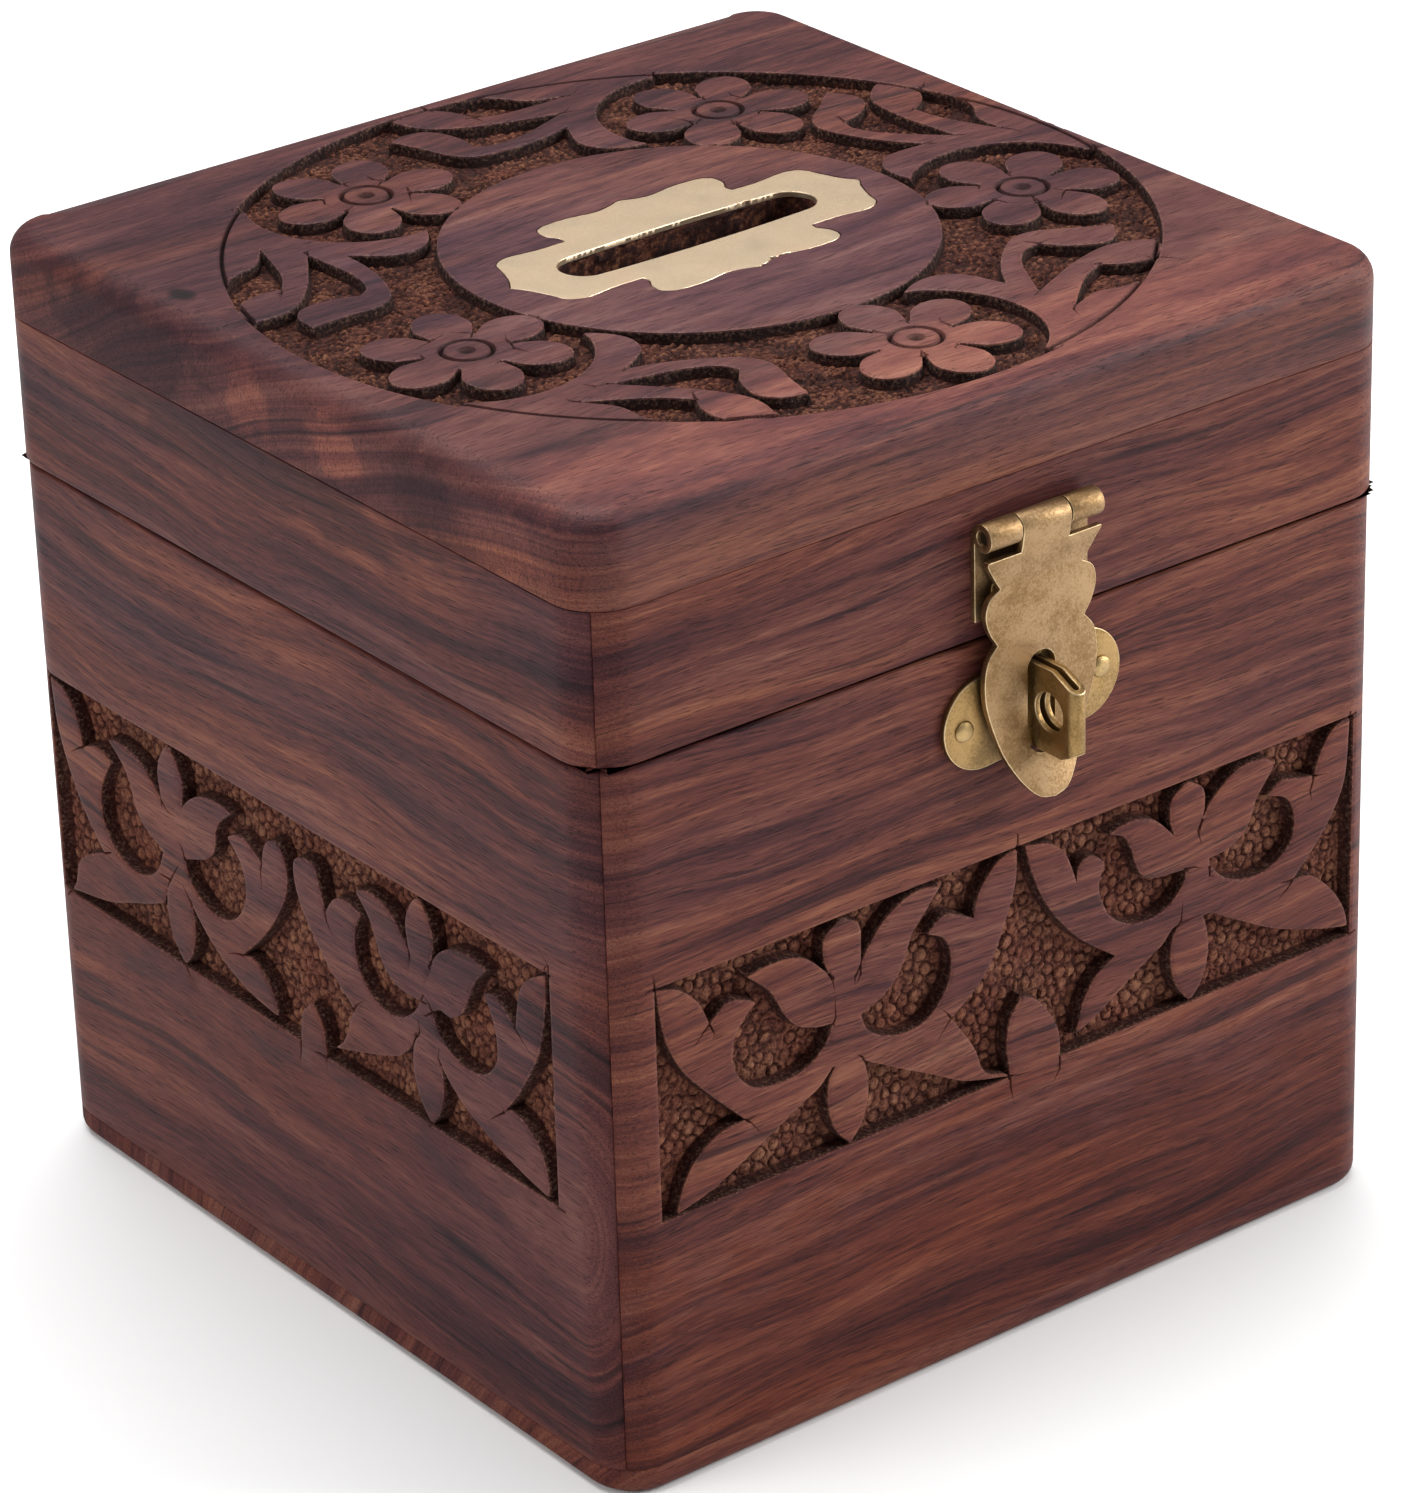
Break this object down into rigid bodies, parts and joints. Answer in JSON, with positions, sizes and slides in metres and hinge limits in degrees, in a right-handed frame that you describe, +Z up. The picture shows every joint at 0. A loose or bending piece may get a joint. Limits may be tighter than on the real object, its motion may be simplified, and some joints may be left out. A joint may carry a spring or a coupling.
{
  "type": "donation box",
  "caption": "Carved wooden money box with a hinged lid, a brass coin slot in the top and a hasp and staple on the front for a small padlock.",
  "frame": {"origin": "middle of the box's underside, on the surface that it stands on", "axes": "+Z up, -Y towards the hasp, +X to the right as seen from the hasp side; back hinges on +Y"},
  "size_m": [0.1006, 0.1124, 0.105],
  "materials": {
    "carved_wood": "satin oiled dark hardwood with streaked grain",
    "bottom_wood": "satin oiled dark hardwood",
    "antique_brass": "mottled antique brass sheet",
    "polished_brass": "polished brass",
    "steel_pin": "drawn wire"
  },
  "bodies": {
    "base": {"base_front_board": "carved_wood", "base_back_board": "carved_wood", "base_left_board": "carved_wood", "base_right_board": "carved_wood", "bottom_board": "bottom_wood", "staple": "antique_brass", "staple_nails": "polished_brass", "left_hinge_base_leaf": "antique_brass", "right_hinge_base_leaf": "antique_brass", "hinge_base_nails": "polished_brass", "left_hinge_pin": "steel_pin", "right_hinge_pin": "steel_pin"},
    "lid": {"lid_top_board": "carved_wood", "lid_front_rail": "carved_wood", "lid_back_rail": "carved_wood", "lid_left_rail": "carved_wood", "lid_right_rail": "carved_wood", "slot_plate": "polished_brass", "hasp_leaf": "antique_brass", "hasp_leaf_nails": "polished_brass", "hasp_pin": "steel_pin", "left_hinge_lid_leaf": "antique_brass", "right_hinge_lid_leaf": "antique_brass", "hinge_lid_nails": "polished_brass"},
    "hasp": {"hasp_strap": "antique_brass"}
  },
  "joints": [
    {"name": "lid_hinge", "type": "hinge", "parent": "base", "child": "lid", "pos_m": [0, 0.0524, 0.07935], "axis": [-1, 0, 0], "range_deg": [0, 110]},
    {"name": "hasp_swing", "type": "hinge", "parent": "lid", "child": "hasp", "pos_m": [0.0021, -0.05225, 0.0909], "axis": [-1, 0, 0], "range_deg": [0, 165]}
  ]
}
